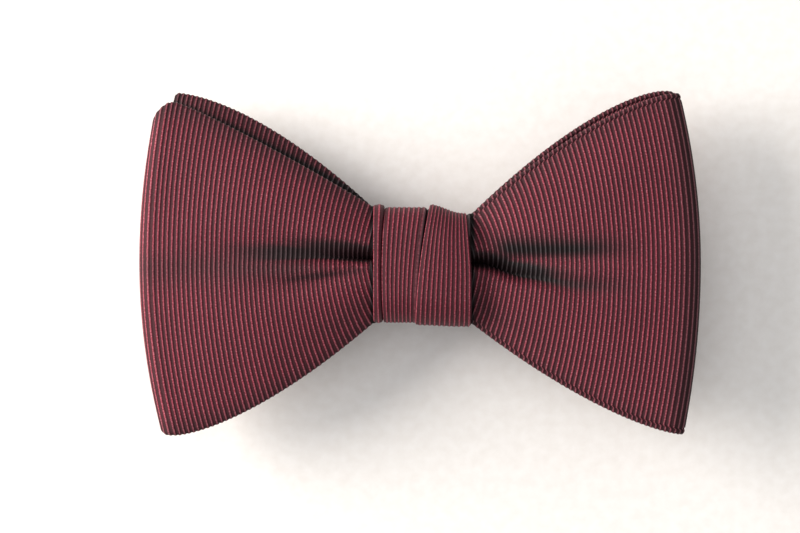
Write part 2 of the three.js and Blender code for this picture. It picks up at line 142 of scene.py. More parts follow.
def shell(name, middle, half, weave, material, wraps=False, flip=False, painted_shade=None):
    """A closed cloth body: a grid of middle points, given half its thickness on both sides.

    weave holds, per point, the distance across the ribs and along them, for the UV map.
    The painted shade, per point, is 0 where the crimson cord shows in full and 1 where the cord is
    painted out and the silk painted dark; above 1, up to 1.9, it is painted darker still, deep inside a
    pleat.
    """
    columns, rows = middle.shape[:2]
    normal = unit_normals(middle, wraps) * (-1 if flip else 1)
    outer = middle + normal * half[..., None]
    inner = middle - normal * half[..., None]
    points = np.concatenate([outer.reshape(-1, 3), inner.reshape(-1, 3)])
    count = columns * rows
    row_steps = rows if wraps else rows - 1
    c, r = np.meshgrid(np.arange(columns - 1), np.arange(row_steps), indexing="ij")
    a = c * rows + r
    b = (c + 1) * rows + r
    d = c * rows + (r + 1) % rows
    e = (c + 1) * rows + (r + 1) % rows
    front = np.stack([a, b, e, d], axis=-1).reshape(-1, 4)
    faces = np.concatenate([front, front[:, ::-1] + count])
    mesh = bpy.data.meshes.new(name)
    mesh.from_pydata(points.tolist(), [], faces.tolist())
    uv = mesh.uv_layers.new(name="weave")
    flat = np.tile(weave.reshape(-1, 2), (2, 1))
    corner = faces.reshape(-1)
    uv_values = flat[corner]
    if wraps:  # the last strip of faces runs on past the loop's length instead of jumping back
        lap = weave[0, 1, 1] - weave[0, 0, 1]
        at_seam = np.tile((r.reshape(-1) == rows - 1), 2)
        corner_row = (corner % count) % rows
        jump = np.repeat(at_seam, 4) & (corner_row == 0)
        uv_values[jump, 1] += lap * rows
    uv.data.foreach_set("uv", uv_values.astype(np.float32).ravel())
    # painted shade, kept per point for the silk's material
    shade = mesh.attributes.new("painted_shade", "FLOAT", "POINT")
    values = np.zeros((columns, rows)) if painted_shade is None else painted_shade
    shade.data.foreach_set("value", np.tile(values.reshape(-1), 2).astype(np.float32))
    seal(mesh)
    return place_in_scene(mesh, name, material)


# ---- Materials ----

def linear(code):
    """An sRGB hex colour as linear RGBA."""
    parts = [int(code[i:i + 2], 16) / 255 for i in (1, 3, 5)]
    return [p / 12.92 if p <= 0.04045 else ((p + 0.055) / 1.055) ** 2.4 for p in parts] + [1.0]


def add_node(tree, kind, settings=None, **links):
    """Adds one node; links give each named or numbered socket a value or another node's output."""
    node = tree.nodes.new(kind)
    for key, value in (settings or {}).items():
        setattr(node, key, value)
    for key, value in links.items():
        socket = node.inputs[int(key[1:]) if key[0] == "_" else key.replace("_", " ")]
        if isinstance(value, bpy.types.NodeSocket):
            tree.links.new(value, socket)
        else:
            socket.default_value = value
    return node


def new_material(name):
    """A material, its node tree and its Principled shader."""
    material = bpy.data.materials.new(name)
    material.use_nodes = True
    tree = material.node_tree
    return material, tree, tree.nodes["Principled BSDF"]


def ramp(tree, factor, stops):
    """A linear colour ramp; each stop is a position with a hex colour or a grey level."""
    node = add_node(tree, "ShaderNodeValToRGB", _0=factor)
    elements = node.color_ramp.elements
    while len(elements) < len(stops):
        elements.new(0.5)
    for element, (position, colour) in zip(elements, stops):
        element.position = position
        element.color = linear(colour) if isinstance(colour, str) else (colour, colour, colour, 1)
    return node.outputs["Color"]


def math_node(tree, operation, a, b=0.0, c=0.0):
    """Output of one Math node."""
    return add_node(tree, "ShaderNodeMath", {"operation": operation}, _0=a, _1=b, _2=c).outputs[0]


def mixed(tree, factor, a, b, blend="MIX"):
    """Colour between a and b, by factor."""
    node = add_node(tree, "ShaderNodeMix", {"data_type": "RGBA", "blend_type": blend})
    for index, value in ((0, factor), (6, a), (7, b)):
        if isinstance(value, bpy.types.NodeSocket):
            tree.links.new(value, node.inputs[index])
        else:
            node.inputs[index].default_value = value
    return node.outputs[2]


def ribbed_silk(name, rib, rose, mauve, glint_colour, charcoal, wine):
    """Yarn-dyed silk faille, woven: a crimson cord stands on each rib beside charcoal and wine warps.

    The eye gets narrow speckled crimson lines over a dark ground, with a soft, low sheen; its pale
    flecks are painted highlights, and the shade of pleats, edges and gaps is painted in too.
    """
    material, tree, surface = new_material(name)
    coordinates = add_node(tree, "ShaderNodeUVMap", {"uv_map": "weave"}).outputs["UV"]
    parts = add_node(tree, "ShaderNodeSeparateXYZ", _0=coordinates)
    across, along = parts.outputs["X"], parts.outputs["Y"]
    # the crossing picks wander by a few hundredths of a millimetre
    wander = add_node(tree, "ShaderNodeTexNoise", {"noise_dimensions": "2D"}, Vector=coordinates,
                      Scale=0.9 / MM, Detail=2.0, Roughness=0.6).outputs["Fac"]
    ribs = math_node(tree, "DIVIDE", across, rib)
    shifted = math_node(tree, "MULTIPLY_ADD", wander, 0.09, ribs)
    phase = math_node(tree, "FRACT", math_node(tree, "ADD", shifted, 0.42))
    # 0.5 is the crest of the rib
    ground = ramp(tree, phase, [
        (0.0, charcoal), (0.14, charcoal), (0.23, wine), (0.33, mauve), (0.44, rose),
        (0.52, rose), (0.62, mauve), (0.72, wine), (0.8, charcoal), (1.0, charcoal)])
    crest = ramp(tree, phase, [(0.3, 0.0), (0.42, 1.0), (0.54, 1.0), (0.66, 0.0)])
    # painted highlights: short pale flecks where a filament of the cord catches the light, about 0.4 mm
    # long
    fleck_place = add_node(tree, "ShaderNodeCombineXYZ", _0=math_node(tree, "MULTIPLY", ribs, 3.0),
                           _1=math_node(tree, "MULTIPLY", along, 3.2 / MM))
    fleck_noise = add_node(tree, "ShaderNodeTexNoise", {"noise_dimensions": "2D"},
                           Vector=fleck_place.outputs[0], Scale=1.0, Detail=2.0, Roughness=0.7)
    flecks = ramp(tree, fleck_noise.outputs["Fac"], [(0.5, 0.0), (0.68, 1.0)])
    painted_glint_amount = math_node(tree, "MULTIPLY", flecks, math_node(tree, "MULTIPLY", crest, 0.7))
    colour = mixed(tree, painted_glint_amount, ground, linear(glint_colour))
    # painted shadow, darker where the flecks' noise is low
    shadows = ramp(tree, fleck_noise.outputs["Fac"], [(0.3, 0.5), (0.52, 1.0)])
    colour = mixed(tree, 1.0, colour, shadows, "MULTIPLY")
    # cloth handled and pressed: broad, faint change of depth
    place = add_node(tree, "ShaderNodeTexCoord").outputs["Object"]
    broad = add_node(tree, "ShaderNodeTexNoise", Vector=place, Scale=0.09 / MM, Detail=3.0)
    depth = ramp(tree, broad.outputs["Fac"], [(0.3, 0.86), (0.7, 1.0)])
    colour = mixed(tree, 1.0, colour, depth, "MULTIPLY")
    # painted shade on pleats, edges and gaps: the cord is painted out, leaving charcoal ribs on
    # near-black (values up to 1)
    painted_shade = add_node(tree, "ShaderNodeAttribute", {"attribute_name": "painted_shade"}).outputs["Fac"]
    painted_shade_colour = mixed(tree, crest, linear("#0d0607"), linear("#4a4144"))
    colour = mixed(tree, painted_shade, colour, painted_shade_colour)
    # painted shade deep inside a pleat, where hardly any light comes (values above 1)
    deep_painted_shade = ramp(tree, math_node(tree, "MULTIPLY", painted_shade, 0.5), [(0.5, 1.0), (0.95, 0.12)])
    colour = mixed(tree, 1.0, colour, deep_painted_shade, "MULTIPLY")
    tree.links.new(colour, surface.inputs["Base Color"])
    rough = ramp(tree, crest, [(0.0, 0.62), (1.0, 0.5)])
    tree.links.new(rough, surface.inputs["Roughness"])
    # the picks that cross each rib, 0.36 mm apart
    picks = math_node(tree, "SINE", math_node(tree, "MULTIPLY", along, 2 * math.pi / (0.36 * MM)))
    height = math_node(tree, "MULTIPLY_ADD", picks, 0.25, fleck_noise.outputs["Fac"])
    bump = add_node(tree, "ShaderNodeBump", Strength=0.55, Distance=0.05 * MM, Height=height)
    tree.links.new(bump.outputs["Normal"], surface.inputs["Normal"])
    surface.inputs["Specular IOR Level"].default_value = 0.16
    surface.inputs["Sheen Weight"].default_value = 0.04
    surface.inputs["Sheen Roughness"].default_value = 0.45
    surface.inputs["Sheen Tint"].default_value = linear("#d07f8a")
    return material


def plain_yarn(name, dark, light, grain, roughness):
    """Spun or twisted yarn: fine streaks of two close shades, matt."""
    material, tree, surface = new_material(name)
    place = add_node(tree, "ShaderNodeTexCoord").outputs["Object"]
    fibres = add_node(tree, "ShaderNodeTexNoise", Vector=place, Scale=1 / grain, Detail=4.0,
                      Roughness=0.65)
    tree.links.new(ramp(tree, fibres.outputs["Fac"], [(0.32, dark), (0.68, light)]),
                   surface.inputs["Base Color"])
    bump = add_node(tree, "ShaderNodeBump", Strength=0.5, Distance=0.06 * MM,
                    Height=fibres.outputs["Fac"])
    tree.links.new(bump.outputs["Normal"], surface.inputs["Normal"])
    surface.inputs["Roughness"].default_value = roughness
    surface.inputs["Sheen Weight"].default_value = 0.1
    return material


def nickel_plate(name):
    """Nickel-plated brass, stamped and barrel-polished: warm grey with clouds and faint scratches."""
    material, tree, surface = new_material(name)
    place = add_node(tree, "ShaderNodeTexCoord").outputs["Object"]
    stretched = add_node(tree, "ShaderNodeMapping", Vector=place, Scale=(0.35, 2.2, 1.0))
    scratches = add_node(tree, "ShaderNodeTexNoise", Vector=stretched.outputs[0], Scale=2.2 / MM,
                         Detail=5.0)
    clouds = add_node(tree, "ShaderNodeTexNoise", Vector=place, Scale=0.35 / MM, Detail=2.0)
    tint = ramp(tree, clouds.outputs["Fac"], [(0.35, "#c4c0b8"), (0.7, "#d9d6cf")])
    tree.links.new(tint, surface.inputs["Base Color"])
    rough = ramp(tree, scratches.outputs["Fac"], [(0.35, 0.22), (0.7, 0.36)])
    tree.links.new(rough, surface.inputs["Roughness"])
    bump = add_node(tree, "ShaderNodeBump", Strength=0.15, Distance=0.02 * MM,
                    Height=scratches.outputs["Fac"])
    tree.links.new(bump.outputs["Normal"], surface.inputs["Normal"])
    surface.inputs["Metallic"].default_value = 1.0
    return material


silk = ribbed_silk("woven_silk_faille", RIB, "#9f3f4f", "#6c2632", "#bd7a85", "#431f26", "#340c14")
knot_silk = ribbed_silk("woven_silk_faille_drawn_tight", KNOT_RIB, "#993c4b", "#662330", "#b26f7a",
                        "#421e25", "#310b13")
wool = plain_yarn("brushed_wool_interlining", "#2c2023", "#46373a", 0.5 * MM, 0.95)
sewing_thread = plain_yarn("twisted_polyester_thread", "#24090d", "#4a161f", 0.12 * MM, 0.6)
nickel = nickel_plate("nickel_plated_brass")


# ---- Leaves of the bow ----

class Leaf:
    """One leaf of the bow: its outline seen from the front, in metres from the bow's middle.

    side is -1 left or 1 right. inset is how far a corner lies inside the bowed outer edge, full how
    soon the outline widens from the knot (1 is a straight line), and round a corner's radius.
    """

    def __init__(self, side, edge, top, bottom, top_inset, bottom_inset, top_full, bottom_full,
                 top_round, bottom_round):
        self.side = side
        self.edge = edge
        self.top, self.bottom = top, bottom
        self.top_inset, self.bottom_inset = top_inset, bottom_inset
        self.top_full, self.bottom_full = top_full, bottom_full
        self.top_round, self.bottom_round = top_round, bottom_round
        self.throat_x = (knot_high.x if side > 0 else -knot_low.x) + 0.3 * MM
        self.throat_top = knot_high.y - (0.1 if side < 0 else 1.6) * MM
        self.throat_bottom = -knot_low.y - 0.2 * MM

    def plan(self, u, v, short=0.0):
        """x and y at u, 0 at the knot to 1 at the outer edge, and v, -1 at the bottom to 1 at the top.

        Lines of equal u are the ribs: they bow like the outer edge, nearly as much beside the knot.
        """
        upper = v >= 0
        throat = np.where(upper, self.throat_top, self.throat_bottom)
        corner = np.where(upper, self.top, self.bottom)
        full = np.where(upper, self.top_full, self.bottom_full)
        inset = np.where(upper, self.top_inset, self.bottom_inset)
        outward = np.clip(u, 0, 1)
        reach = self.edge - short - self.throat_x
        bow = inset * (0.85 + 0.15 * outward) * np.abs(v) ** (1.4 + 0.6 * outward)
        x = self.throat_x + reach * u - bow
        corner_x = self.edge - short - inset
        share = np.clip((x - self.throat_x) / (corner_x - self.throat_x), 0, 1)
        height = throat + (corner - throat) * (1 - (1 - share) ** full)
        height = height * (1 - 0.22 * smooth((self.throat_x - x) / (4 * MM)))
        return self.side * x, v * height


def rounded_corners(leaf, x, y):
    """Draws each column's two halves in, so that the corners of the leaf are round."""
    for row, radius, upper in ((-1, leaf.top_round, True), (0, leaf.bottom_round, False)):
        edge_line = np.abs(x[:, row])
        past = np.clip((edge_line - edge_line.max()) / radius + 1, 0, 1)
        scale = 1 - radius * (1 - np.sqrt(1 - (0.97 * past) ** 2)) / np.abs(y[:, row])
        half = (y > 0) if upper else (y < 0)
        y[half] *= np.broadcast_to(scale[:, None], y.shape)[half]


# In the next functions d is millimetres from the knot. smooth((d - a) / b) starts a change at a and
# runs it over b millimetres.

def bell(y, centre, width_above, width_below):
    """1 at the centre, falling off over a different width on each side."""
    away = y - centre
    width = np.where(away > 0, width_above, width_below)
    return np.exp(-(away / width) ** 2)


def band(y, centre, width_above, width_below):
    """Like bell, with a flat top."""
    away = y - centre
    width = np.where(away > 0, width_above, width_below)
    return np.exp(-(away / width) ** 4)


def left_creases(away, y):
    """Depth of the left wing's pleats, away metres from the knot."""
    d = away / MM
    main = (4.6 * np.exp(-d / 7) + 2.3 * np.clip(1 - d / 42, 0, 1)) * MM
    low = bell(y, (0.5 + 0.024 * d) * MM, (1.7 + 0.15 * np.minimum(d, 22)) * MM, (0.7 + 0.04 * d) * MM)
    second = (0.3 + 0.6 * smooth(d / 9) - 0.9 * smooth((d - 12) / 20)) * MM
    turn = bell(y, (-1.9 - 2.6 * smooth(d / 18)) * MM, 1.6 * MM, 2.6 * MM)
    return main * low + second * turn


def right_creases(away, y):
    """Depth of the right wing's pleats, away metres from the knot."""
    d = away / MM
    main = (4.4 * np.exp(-d / 8) + 2.5 * np.clip(1 - d / 38, 0, 1)) * MM
    width_above = (1.3 + 0.11 * np.minimum(d, 20)) * MM
    pocket = bell(y, pocket_line(d), width_above, (0.9 + 0.06 * d) * MM)
    upper = 1.7 * smooth((d - 2) / 10) * (1 - smooth((d - 16) / 24)) * MM
    slope = bell(y, (1.1 - 0.02 * d) * MM, 3.0 * MM, 1.3 * MM)
    return main * pocket + upper * slope


def pocket_line(d):
    """Height at which the right wing's deepest pleat runs, d millimetres from the knot."""
    return (-0.3 - 2.6 * smooth((d - 1) / 10) - 2.2 * smooth((d - 9) / 16)) * MM


def left_painted_shade(away, y):
    """Painted shade over the left pleats: their turned side, the slot at the knot, the shallow valley
    that runs on to the outer edge, and a short crease below."""
    d = away / MM
    reach = 1 - smooth((d - 19) / 19)
    top = (0.3 + 2.8 * smooth(d / 17)) * MM
    slope = smooth((y + (0.5 - 0.03 * d) * MM) / (0.5 * MM)) * (1 - smooth((y - top) / (1.9 * MM)))
    slot = 0.9 * bell(y, 0.1 * MM, 0.6 * MM, 0.5 * MM) * (1 - smooth((d - 1) / 9))
    valley = 0.5 * bell(y, -1.1 * MM, 3.3 * MM, 3.6 * MM)
    valley = valley * smooth((d - 6) / 12) * (1 - 0.35 * smooth((d - 28) / 16))
    lower = 0.5 * bell(y, (-1.5 - 0.10 * d) * MM, 0.7 * MM, 0.8 * MM)
    lower = lower * smooth(d / 4) * (1 - smooth((d - 9) / 9))
    return np.maximum(0.93 * reach * slope + slot + lower, valley)


def right_painted_shade(away, y):
    """Painted shade over the right pleats: the upper slope, the pocket's inner side, its
    lower lip, and the slot at the knot."""
    d = away / MM
    upper = bell(y, 3.0 * MM, 2.4 * MM, 1.9 * MM) * smooth((d - 2) / 6) * (1 - smooth((d - 21) / 19))
    inner = band(y, pocket_line(d) + 1.6 * MM, 1.5 * MM, 1.7 * MM) * smooth((d - 1) / 4)
    inner = 1.35 * inner * (1 - smooth((d - 8) / 21))
    low = bell(y, pocket_line(d) + 0.1 * MM, (1.5 + 0.03 * d) * MM, (0.85 + 0.03 * d) * MM)
    low = 1.5 * low * (1 - 0.4 * smooth((d - 11) / 9)) * (1 - smooth((d - 18) / 22))
    slot = 1.9 * band(y, 0.05 * MM - 0.6 * smooth(d / 8) * MM, 1.55 * MM, 1.5 * MM)
    slot = slot * (1 - smooth((d - 1.5) / 9))
    return np.maximum.reduce([1.05 * upper, inner, low, slot])


PLEAT_RISE = 3.4 * MM        # the pleats stand this much above the leaf beside the knot
BILLOW = 2.0 * MM            # swell of the front leaf half way out


def leaf_height(level, lift, creases, share, rise):
    """Height of a layer over its plan: level at the knot, lift more at the edge.

    share is how much of the creases it takes, and rise how much of the pleats' rise and the swell.
    """
    def height(u, v, x, y, throat_x):
        away = np.clip(np.abs(x) - throat_x, 0, None)
        inside = np.clip(u, 0, 1)
        pleats = rise * PLEAT_RISE * (1 - inside) ** 1.6 * (1 - v ** 2)
        swell = rise * BILLOW * np.sin(math.pi * inside) * (1 - v ** 2)
        return level + lift * inside + pleats + swell - share * creases(away, y)
    return height


# distances from an edge at which every sheet has points, close together over the roll and the seam
EDGE_ROWS = np.array([0, 0.05, 0.18, 0.38, 0.62, 0.85, 1.0, 1.15, 1.3, 1.55, 2.0, 2.6]) * MM
LINES = 61                   # lines drawn from the knot outwards before ribs are laid across them
INNER_ROWS = 44              # rows of points between a leaf's two edge zones
STEPS_PER_RIB = 6


def across_rows(grid, rows):
    """Moves each column's points to set distances from the leaf's two edges."""
    out = np.empty((grid.shape[0], 2 * len(EDGE_ROWS) + rows, 3))
    along = np.empty(out.shape[:2])
    edge_distance = np.empty(out.shape[:2])
    for column, points in enumerate(grid):
        length = np.concatenate([[0], np.cumsum(np.linalg.norm(np.diff(points, axis=0), axis=1))])
        whole = length[-1]
        inner = np.linspace(EDGE_ROWS[-1], whole - EDGE_ROWS[-1], rows + 2)[1:-1]
        places = np.concatenate([EDGE_ROWS, inner, whole - EDGE_ROWS[::-1]])
        for axis in range(3):
            out[column, :, axis] = np.interp(places, length, points[:, axis])
        along[column] = places - whole / 2
        edge_distance[column] = np.minimum(places, whole - places)
    return out, along, edge_distance


def rib_profile(distance, rib):
    """Height of the ribs at a distance across them, above zero on a crest."""
    return RIB_HEIGHT * np.cos(2 * math.pi * distance / rib)


def seam_shift(edge_distance):
    """Beyond an edge seam the ribs meet the other ply's, half a rib on."""
    return 0.5 * RIB * (1 - smooth((edge_distance - SEAM_SETBACK + 0.1 * MM) / (0.2 * MM)))


def cloth_half(edge_distance, half, seam=0.0):
    """Half the thickness near an edge: a round roll, then the dip of the seam."""
    roll = half * 1.15
    rounded = np.sqrt(np.clip(1 - (1 - np.clip(edge_distance / roll, 0, 1)) ** 2, 0, 1))
    dip = seam * np.exp(-((edge_distance - SEAM_SETBACK) / (0.17 * MM)) ** 2)
    return half * rounded - dip


def painted_slope_shade(grid, side_sign):
    """Painted shade where a leaf's front tilts towards -y, turned from the light: how far its crimson
    cord is painted out.
    """
    normal = unit_normals(grid, False) * side_sign
    tilt = np.clip(-normal[..., 1] - 0.10, 0, 1) / 0.36
    return 0.9 * smooth(tilt)


def painted_edge_shade(edge_distance, seamed):
    """Painted shade along an edge: strong over the roll, weak for 5 mm inside it."""
    start, fade = (0.9 * MM, 0.4 * MM) if seamed else (0.2 * MM, 1.3 * MM)
    over_roll = 0.5 * (1 - smooth((edge_distance - start) / fade))
    beside = 0.42 * (1 - smooth((edge_distance - 0.5 * MM) / (4.5 * MM)))
    return np.maximum(over_roll, beside)


def leaf_piece(name, leaf, height, fold=None, seamed=True, roll=None, shade=None):
    """A lined leaf. With a fold, (lower height, radius), it runs back under itself as a loop.

    roll, (radius, angle), turns an open outer end down. shade(x, y, away) is the painted shade
    of its pleats.
    """
    lines = np.linspace(-1, 1, LINES)
    step = RIB / STEPS_PER_RIB
    short = 0.0 if fold is None else fold[1] + LEAF_HALF
    reach = leaf.edge - short - leaf.throat_x
    turn_length = 0.0 if fold is None else fold[1] * math.pi / 2
    radius, roll_angle = roll or (1.0, 0.0)
    distance = np.arange(0, turn_length + reach + KNOT_DEPTH, step)
    rolled = np.clip(roll_angle - distance / radius, 0, None)
    flat_part = np.clip(distance - turn_length, 0, None) - radius * (roll_angle - math.sin(roll_angle))
    from_edge = np.where(rolled > 0, radius * (math.sin(roll_angle) - np.sin(rolled)), flat_part)
    u = 1 - from_edge[:, None] / reach
    angle = np.clip(distance / turn_length, 0, 1)[:, None] * math.pi / 2 if fold else None
    v = np.broadcast_to(lines, (len(distance), LINES))

    def sheet(level, sign):
        x, y = leaf.plan(u, v, short)
        z = level(u, v, x, y, leaf.throat_x) - (radius * (1 - np.cos(rolled)))[:, None]
        if fold is not None:
            centre = (height(1.0, lines, x[0], y[0], 0) + fold[0](1.0, lines, x[0], y[0], 0)) / 2
            turning = distance < turn_length
            x[turning] += leaf.side * fold[1] * np.cos(angle[turning])
            z[turning] = centre + sign * fold[1] * np.sin(angle[turning])
        rounded_corners(leaf, x, y)
        return np.stack([x, y, z], axis=-1)

    grid = sheet(height, 1)
    if fold is not None:
        grid = np.concatenate([sheet(fold[0], -1)[:0:-1], grid])
        distance = np.concatenate([-distance[:0:-1], distance])
    rows, along, edge_distance = across_rows(grid, INNER_ROWS)
    shifted = distance[:, None] + (seam_shift(edge_distance) if seamed else 0)
    at_edge = np.clip(edge_distance / LEAF_HALF, 0, 1)
    away = np.abs(rows[..., 0]) - leaf.throat_x
    half = cloth_half(edge_distance, LEAF_HALF, SEAM_DIP if seamed else 0)
    half = half + rib_profile(shifted, RIB) * at_edge
    half *= 0.62 + 0.38 * smooth(away / (11 * MM))  # the plies are squeezed together at the knot
    if fold is None:  # the outer end is rounded as the other edges are
        outer = np.clip(distance / LEAF_HALF, 0, 1)[:, None]
        half *= np.sqrt(1 - (1 - outer) ** 2)
    half[0] = 0
    half[-1] = 0
    # the roll of each edge follows the ribs that turn over it
    rows[..., 1] += np.sign(along) * rib_profile(shifted, RIB) * (1 - at_edge)
    facing = -leaf.side
    weave = np.stack([shifted + 0 * edge_distance, along], axis=-1)
    # painted shade: slopes turned from the light, rolled edges, the gap against the knot, the open
    # outer end and the pleats
    painted_shade = painted_slope_shade(rows, facing) * smooth((edge_distance - 2 * MM) / (4 * MM))
    painted_shade = np.maximum(painted_shade, painted_edge_shade(edge_distance, seamed))
    # painted shade in the gap against the knot
    painted_shade = np.maximum(painted_shade, 1.6 * (1 - smooth(away / (0.8 * MM))))  # against the knot
    # painted shade towards the open outer end
    if fold is None:  # towards the open outer end
        painted_shade = np.maximum(painted_shade, 0.7 * (1 - smooth((distance[:, None] - 0.5 * MM) / (7 * MM))))
    if shade is not None:
        painted_shade = np.maximum(painted_shade, shade(rows[..., 0], rows[..., 1], np.clip(away, 0, None)))
    return shell(name, rows, half, weave, silk, flip=facing < 0, painted_shade=painted_shade)


bow_left, bow_right = cad_box[0].x, cad_box[1].x
bow_bottom, bow_top = cad_box[0].y, cad_box[1].y

left_front = Leaf(
    -1, edge=-bow_left, top=bow_top - 1.9 * MM, bottom=-bow_bottom + 0.2 * MM,
    top_inset=3.0 * MM, bottom_inset=4.7 * MM, top_full=1.15, bottom_full=1.5,
    top_round=5.4 * MM, bottom_round=1.2 * MM)
left_back = Leaf(
    -1, edge=-bow_left - 2.6 * MM, top=bow_top + 0.1 * MM, bottom=-bow_bottom - 3.0 * MM,
    top_inset=4.4 * MM, bottom_inset=4.5 * MM, top_full=1.6, bottom_full=1.4,
    top_round=1.2 * MM, bottom_round=0.7 * MM)
right_front = Leaf(
    1, edge=bow_right - 0.7 * MM, top=bow_top - 0.5 * MM, bottom=-bow_bottom,
    top_inset=4.5 * MM, bottom_inset=3.6 * MM, top_full=1.5, bottom_full=1.45,
    top_round=0.8 * MM, bottom_round=0.6 * MM)
right_back = Leaf(
    1, edge=bow_right + 0.1 * MM, top=bow_top + 0.1 * MM, bottom=-bow_bottom - 3.7 * MM,
    top_inset=5.6 * MM, bottom_inset=3.0 * MM, top_full=1.5, bottom_full=1.45,
    top_round=0.8 * MM, bottom_round=0.7 * MM)


def above_leaf(leaf, x, y):
    """How far up past a leaf's top edge a point lies."""
    line_x, line_y = leaf.plan(np.linspace(0, 1, 60), np.ones(60))
    order = np.argsort(line_x)
    return y - np.interp(x, line_x[order], line_y[order])


def left_back_painted_shade(x, y, away):
    """Painted shade on the back leaf where it dips under the front one's edge, darkest next to it."""
    past = above_leaf(left_front, x, y)
    return 1.3 * (1 - smooth((past - 0.4 * MM) / (3.0 * MM))) * smooth((past + 5 * MM) / (3 * MM))


RIGHT_ROLL = (5.0 * MM, 0.85)   # radius and angle by which the right front leaf's end turns down
LEFT_FOLD = 2.6 * MM         # radius of the left front loop's fold
RIGHT_FOLD = 2.4 * MM        # radius of the right back loop's fold

# a loop's upper layer rises outwards by what its fold needs beyond the step between two layers
layer_step = FRONT_LAYER - MIDDLE_LAYER
left_lift = 2 * LEFT_FOLD - layer_step
right_lift = 2 * RIGHT_FOLD - layer_step
roll_drop = RIGHT_ROLL[0] * (1 - math.cos(RIGHT_ROLL[1]))

left_front_leaf = leaf_piece(
    "left_front_leaf", left_front, leaf_height(FRONT_LAYER, left_lift, left_creases, 1.0, 1.0),
    fold=(leaf_height(MIDDLE_LAYER, 0, left_creases, 0.26, 0.0), LEFT_FOLD), seamed=False,
    shade=lambda x, y, away: left_painted_shade(away, y))
left_back_leaf = leaf_piece(
    "left_back_leaf", left_back, leaf_height(BACK_LAYER, 0, left_creases, 0.06, 0.0),
    seamed=False, shade=left_back_painted_shade)
right_front_leaf = leaf_piece(
    "right_front_leaf", right_front,
    leaf_height(FRONT_LAYER, right_lift + roll_drop, right_creases, 1.0, 1.0),
    roll=RIGHT_ROLL, shade=lambda x, y, away: right_painted_shade(away, y))
right_back_leaf = leaf_piece(
    "right_back_leaf", right_back, leaf_height(MIDDLE_LAYER, right_lift, right_creases, 0.26, 0.0),
    fold=(leaf_height(BACK_LAYER, 0, right_creases, 0.06, 0.0), RIGHT_FOLD))

LEAF_PLIES = ("face_ply", "interlining", "lining_ply")

for piece, node, body, leaf, length in (
        (left_front_leaf, "left_loop", "left_front", left_front, 119 * MM),
        (left_back_leaf, "left_end", "left_back", left_back, 53 * MM),
        (right_front_leaf, "right_end", "right_front", right_front, 54 * MM),
        (right_back_leaf, "right_loop", "right_back", right_back, 118 * MM)):
    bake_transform(piece)
    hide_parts(*(f"{node}_{ply}" for ply in LEAF_PLIES))


# ---- Knot ----

def wound_loop(count, top, bottom, low, high, low_radius, high_radius):
    """Points round a loop with rounded corners, evenly spaced, in y and z, starting at its back."""
    quarter = np.linspace(0, math.pi / 2, 24)
    corners = [
        (top - low_radius, low + low_radius, low_radius, -math.pi / 2),
        (top - high_radius, high - high_radius, high_radius, 0.0),
        (bottom + high_radius, high - high_radius, high_radius, math.pi / 2),
        (bottom + low_radius, low + low_radius, low_radius, math.pi),
    ]
    path = [((top + bottom) / 2, low)]
    for y, z, radius, start in corners:
        path += [(y + radius * math.cos(start + t), z + radius * math.sin(start + t)) for t in quarter]
    path.append(path[0])
    path = np.array(path)
    length = np.concatenate([[0], np.cumsum(np.linalg.norm(np.diff(path, axis=0), axis=1))])
    places = np.arange(count) / count * length[-1]
    return np.interp(places, length, path[:, 0]), np.interp(places, length, path[:, 1]), places


LOOP_POINTS = 150            # points once round the knot
BACK_RADIUS = 3.0 * MM       # corners of the wound strip at the back
FRONT_RADIUS = 6.0 * MM      # and at the front


def wrap_piece(name, left_edge, right_edge, top, bottom, front, painted_shade_along=None):
    """A strip wound round the knot. Edges are functions of y; top, bottom and front of x.

    The last argument, a function of x, is the painted shade there.
    """
    rib_step = KNOT_RIB / STEPS_PER_RIB
    width = np.max(right_edge(np.zeros(1)) - left_edge(np.zeros(1)))
    distance = np.arange(0, width + rib_step / 2, rib_step)
    share = distance / distance[-1]
    middle = np.empty((len(share), LOOP_POINTS, 3))
    along = np.empty(middle.shape[:2])
    guesses = left_edge(np.zeros(1))[0] * (1 - share) + right_edge(np.zeros(1))[0] * share
    for column, (f, guess) in enumerate(zip(share, guesses)):
        y, z, places = wound_loop(
            LOOP_POINTS, top(guess) - KNOT_HALF, bottom(guess) + KNOT_HALF, knot_low.z + KNOT_HALF,
            front(guess) - KNOT_HALF, BACK_RADIUS, FRONT_RADIUS)
        middle[column, :, 0] = left_edge(y) * (1 - f) + right_edge(y) * f
        middle[column, :, 1] = y
        middle[column, :, 2] = z
        along[column] = places
    edge_distance = np.minimum(distance, distance[-1] - distance)[:, None]
    at_edge = np.clip(edge_distance / KNOT_HALF, 0, 1)
    half = cloth_half(edge_distance, KNOT_HALF) + rib_profile(distance, KNOT_RIB)[:, None] * at_edge
    half = np.broadcast_to(half, middle.shape[:2]).copy()
    half[0] = 0
    half[-1] = 0
    weave = np.stack([np.repeat(distance[:, None], LOOP_POINTS, axis=1), along], axis=-1)
    painted_shade = None
    if painted_shade_along is not None:
        painted_shade = np.repeat(painted_shade_along(guesses)[:, None], LOOP_POINTS, axis=1)
    return shell(name, middle, half, weave, knot_silk, wraps=True, flip=True, painted_shade=painted_shade)


def overlap_line(y):
    """Where the upper turn of the strip crosses the lower one, slanting down to the left."""
    t = y / MM
    return (-0.15 + 0.128 * t + 0.0038 * t * t) * MM


def groove_line(y):
    """Groove between the knot's left fold and the lower turn."""
    t = y / (12.5 * MM)
    return (-8.25 + 0.5 * t * t + 0.2 * t) * MM


def level_line(value):
    """A top, bottom or front that is the same right across the strip."""
    return lambda x: value


def upright_edge(x):
    """A side edge that runs straight up."""
    return lambda y: np.full_like(y, x)


knot_front = knot_high.z
TUCK = 0.7 * MM              # the lower turn dives under the upper one over this width


